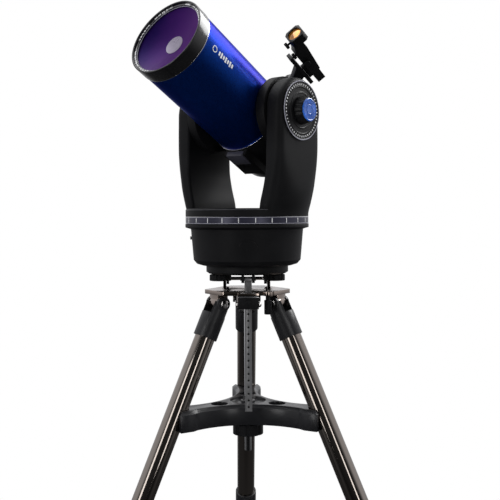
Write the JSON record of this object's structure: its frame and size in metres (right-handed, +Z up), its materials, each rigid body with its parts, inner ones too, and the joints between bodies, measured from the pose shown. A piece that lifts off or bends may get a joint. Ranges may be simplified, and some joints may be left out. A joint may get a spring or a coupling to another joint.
{
  "type": "telescope",
  "caption": "Compact mirror-lens telescope in a motorised fork mount on a tilting plate and a folding field tripod with an accessory tray",
  "frame": {"origin": "on the floor, under the azimuth axis", "axes": "+Z up; +Y towards the back leg; the telescope points to -X -Y, 28 degrees above the horizon"},
  "size_m": [0.5762, 0.5433, 1.0647],
  "materials": {
    "black_plastic": "satin moulded black",
    "black_paint": "satin black paint on a casting",
    "gloss_black": "gloss black",
    "blue_paint": "deep metallic blue gloss",
    "scale_silver": "brushed silver scale ring",
    "dark_steel": "polished steel plate",
    "steel": "plain steel",
    "chrome": "polished",
    "leg_chrome": "dark polished tube",
    "tray_paint": "dark grey metallic paint",
    "bar_alloy": "light grey anodised",
    "coated_glass": "violet coated optical glass",
    "amber_glass": "amber reflective coating",
    "mirror": "aluminised",
    "rubber": "black rubber"
  },
  "bodies": {
    "tripod": {"tripod_head": "dark_steel", "pivot_pins": "chrome", "center_rod": "steel", "bar_guide": "black_plastic"},
    "latitude_lock": {"latitude_lock_knob": "black_plastic"},
    "tray": {"spreader_tray": "tray_paint"},
    "tray_knob": {"spreader_knob": "black_plastic"},
    "tilt_base": {"tilt_plate": "black_paint", "drive_base": "black_plastic", "control_panel": "black_plastic"},
    "strut": {"latitude_bar": "bar_alloy"},
    "attachment_left": {"attachment_knob_left": "black_plastic"},
    "attachment_right": {"attachment_knob_right": "black_plastic"},
    "circle": {"azimuth_circle": "scale_silver"},
    "azimuth_lever": {"azimuth_lock_lever": "gloss_black"},
    "switch": {"power_switch": "gloss_black"},
    "fork": {"fork_base": "black_plastic", "left_arm": "black_plastic", "right_arm": "black_plastic", "azimuth_gear": "steel"},
    "ota": {"optical_tube": "blue_paint", "front_cell": "gloss_black", "retaining_ring": "gloss_black", "corrector_lens": "coated_glass", "secondary_spot": "mirror", "rear_housing": "black_paint", "rear_cell": "gloss_black", "baffle_tube": "black_paint", "eyepiece_holder": "black_paint", "altitude_circle": "gloss_black", "finder_bracket": "black_plastic", "finder_body": "black_plastic", "finder_lens": "amber_glass"},
    "primary": {"primary_mirror": "mirror"},
    "flip": {"flip_mirror": "mirror"},
    "focus": {"focus_knob": "black_plastic"},
    "eyepiece_body": {"eyepiece": "gloss_black"},
    "eyepiece_lock": {"eyepiece_thumbscrew": "chrome"},
    "altitude_lock": {"altitude_lock_knob": "black_plastic"},
    "finder_screw_a": {"finder_screw_front": "black_paint"},
    "finder_screw_b": {"finder_screw_rear": "black_paint"},
    "finder_dimmer": {"finder_switch": "black_plastic"},
    "leg_back": {"leg_yoke_back": "black_plastic", "leg_tube_back": "leg_chrome", "leg_collar_back": "black_plastic"},
    "leg_back_extension": {"leg_inner_tube_back": "leg_chrome", "leg_foot_back": "rubber"},
    "leg_back_lock": {"leg_lock_knob_back": "black_plastic"},
    "leg_left": {"leg_yoke_left": "black_plastic", "leg_tube_left": "leg_chrome", "leg_collar_left": "black_plastic"},
    "leg_left_extension": {"leg_inner_tube_left": "leg_chrome", "leg_foot_left": "rubber"},
    "leg_left_lock": {"leg_lock_knob_left": "black_plastic"},
    "leg_right": {"leg_yoke_right": "black_plastic", "leg_tube_right": "leg_chrome", "leg_collar_right": "black_plastic"},
    "leg_right_extension": {"leg_inner_tube_right": "leg_chrome", "leg_foot_right": "rubber"},
    "leg_right_lock": {"leg_lock_knob_right": "black_plastic"}
  },
  "joints": [
    {"name": "latitude_lock_turn", "type": "hinge", "parent": "tripod", "child": "latitude_lock", "pos_m": [0.0355, -0.066, 0.54], "axis": [0, 0, -1], "range_deg": [0, 720]},
    {"name": "tray_knob_turn", "type": "hinge", "parent": "tray", "child": "tray_knob", "pos_m": [0, 0, 0.305], "axis": [0, 0, -1], "range_deg": [0, 5761]},
    {"name": "tray_drop", "type": "slide", "parent": "tripod", "child": "tray", "axis": [0, 0, -1], "range_m": [0, 0.028]},
    {"name": "leg_back_fold", "type": "hinge", "parent": "tripod", "child": "leg_back", "pos_m": [0, 0.0631, 0.5412], "axis": [-1, 0, 0], "range_deg": [0, 2.75]},
    {"name": "leg_back_extend", "type": "slide", "parent": "leg_back", "child": "leg_back_extension", "axis": [0, 0.4147, -0.91], "range_m": [0, 0.3]},
    {"name": "leg_back_lock_turn", "type": "hinge", "parent": "leg_back", "child": "leg_back_lock", "pos_m": [0, 0.27916, 0.06711], "axis": [0, 0.91, 0.4147], "range_deg": [0, 720]},
    {"name": "leg_left_fold", "type": "hinge", "parent": "tripod", "child": "leg_left", "pos_m": [-0.05465, -0.03155, 0.5412], "axis": [0.5, -0.866, 0], "range_deg": [0, 2.75]},
    {"name": "leg_left_extend", "type": "slide", "parent": "leg_left", "child": "leg_left_extension", "axis": [-0.3591, -0.2073, -0.91], "range_m": [0, 0.3]},
    {"name": "leg_left_lock_turn", "type": "hinge", "parent": "leg_left", "child": "leg_left_lock", "pos_m": [-0.24176, -0.13958, 0.06711], "axis": [-0.788, -0.455, 0.4147], "range_deg": [0, 720]},
    {"name": "leg_right_fold", "type": "hinge", "parent": "tripod", "child": "leg_right", "pos_m": [0.05465, -0.03155, 0.5412], "axis": [0.5, 0.866, 0], "range_deg": [0, 2.75]},
    {"name": "leg_right_extend", "type": "slide", "parent": "leg_right", "child": "leg_right_extension", "axis": [0.3591, -0.2073, -0.91], "range_m": [0, 0.3]},
    {"name": "leg_right_lock_turn", "type": "hinge", "parent": "leg_right", "child": "leg_right_lock", "pos_m": [0.24176, -0.13958, 0.06711], "axis": [0.788, -0.455, 0.4147], "range_deg": [0, 720]},
    {"name": "plate_tilt", "type": "hinge", "parent": "tripod", "child": "tilt_base", "pos_m": [0, 0.06, 0.58], "axis": [-1, 0, 0], "range_deg": [0, 50]},
    {"name": "strut_swing", "type": "hinge", "parent": "tilt_base", "child": "strut", "pos_m": [0, -0.07, 0.587], "axis": [-1, 0, 0], "range_deg": [-29, 0]},
    {"name": "attachment_left_turn", "type": "hinge", "parent": "tilt_base", "child": "attachment_left", "pos_m": [-0.05, -0.004, 0.585], "axis": [0, 0, -1], "range_deg": [0, 1080]},
    {"name": "attachment_right_turn", "type": "hinge", "parent": "tilt_base", "child": "attachment_right", "pos_m": [0.05, -0.004, 0.585], "axis": [0, 0, -1], "range_deg": [0, 1080]},
    {"name": "azimuth_circle_slip", "type": "hinge", "parent": "tilt_base", "child": "circle", "pos_m": [0, 0, 0.694], "axis": [0, 0, 1], "continuous": true},
    {"name": "azimuth_lever_swing", "type": "hinge", "parent": "tilt_base", "child": "azimuth_lever", "pos_m": [-0.10151, 0.04733, 0.659], "axis": [0, 0, 1], "range_deg": [0, 35]},
    {"name": "power_switch_rock", "type": "hinge", "parent": "tilt_base", "child": "switch", "pos_m": [-0.02816, 0.09637, 0.653], "axis": [0, 0, 1], "range_deg": [-4, 4]},
    {"name": "azimuth_turn", "type": "hinge", "parent": "tilt_base", "child": "fork", "pos_m": [0, 0, 0.7], "axis": [0, 0, 1], "range_deg": [-315, 315]},
    {"name": "altitude_turn", "type": "hinge", "parent": "fork", "child": "ota", "pos_m": [0, 0, 0.887], "axis": [-0.7567, 0.6538, 0], "range_deg": [-48.4, 61.5]},
    {"name": "focus_turn", "type": "hinge", "parent": "ota", "child": "focus", "pos_m": [0.09816, 0.04936, 0.81617], "axis": [-0.5751, -0.6655, 0.4758], "range_deg": [-2161, 2161]},
    {"name": "mirror_slide", "type": "slide", "parent": "ota", "child": "primary", "axis": [-0.5751, -0.6655, 0.4758], "range_m": [-0.006, 0.006]},
    {"name": "flip_mirror_turn", "type": "hinge", "parent": "ota", "child": "flip", "pos_m": [0.05348, 0.06189, 0.84275], "axis": [-0.7567, 0.6538, 0], "range_deg": [0, 45]},
    {"name": "eyepiece_lift", "type": "slide", "parent": "ota", "child": "eyepiece_body", "axis": [0.3111, 0.36, 0.8796], "range_m": [0, 0.035]},
    {"name": "eyepiece_lock_turn", "type": "hinge", "parent": "ota", "child": "eyepiece_lock", "pos_m": [0.09648, 0.11165, 0.91178], "axis": [0.5751, 0.6655, -0.4758], "range_deg": [0, 720]},
    {"name": "altitude_lock_turn", "type": "hinge", "parent": "ota", "child": "altitude_lock", "pos_m": [0.09836, -0.085, 0.887], "axis": [0.7567, -0.6538, 0], "range_deg": [0, 180]},
    {"name": "finder_screw_a_turn", "type": "hinge", "parent": "ota", "child": "finder_screw_a", "pos_m": [0.07119, -0.06902, 1.00262], "axis": [-0.755, 0.2078, -0.6219], "range_deg": [-720, 720]},
    {"name": "finder_screw_b_turn", "type": "hinge", "parent": "ota", "child": "finder_screw_b", "pos_m": [0.08503, -0.04976, 0.98743], "axis": [-0.755, 0.2078, -0.6219], "range_deg": [-720, 720]},
    {"name": "finder_dimmer_turn", "type": "hinge", "parent": "ota", "child": "finder_dimmer", "pos_m": [0.10849, -0.04856, 0.97543], "axis": [0.3151, -0.7169, -0.6219], "range_deg": [0, 270]}
  ],
  "couplings": [
    {"joint": "tray_knob_turn", "follows": "tray_drop", "rad_per_m": 3590.4},
    {"joint": "leg_back_fold", "follows": "tray_drop", "rad_per_m": 1.68},
    {"joint": "leg_left_fold", "follows": "tray_drop", "rad_per_m": 1.68},
    {"joint": "leg_right_fold", "follows": "tray_drop", "rad_per_m": 1.68},
    {"joint": "strut_swing", "follows": "plate_tilt", "ratio": -0.57},
    {"joint": "focus_turn", "follows": "mirror_slide", "rad_per_m": 6283.2}
  ]
}
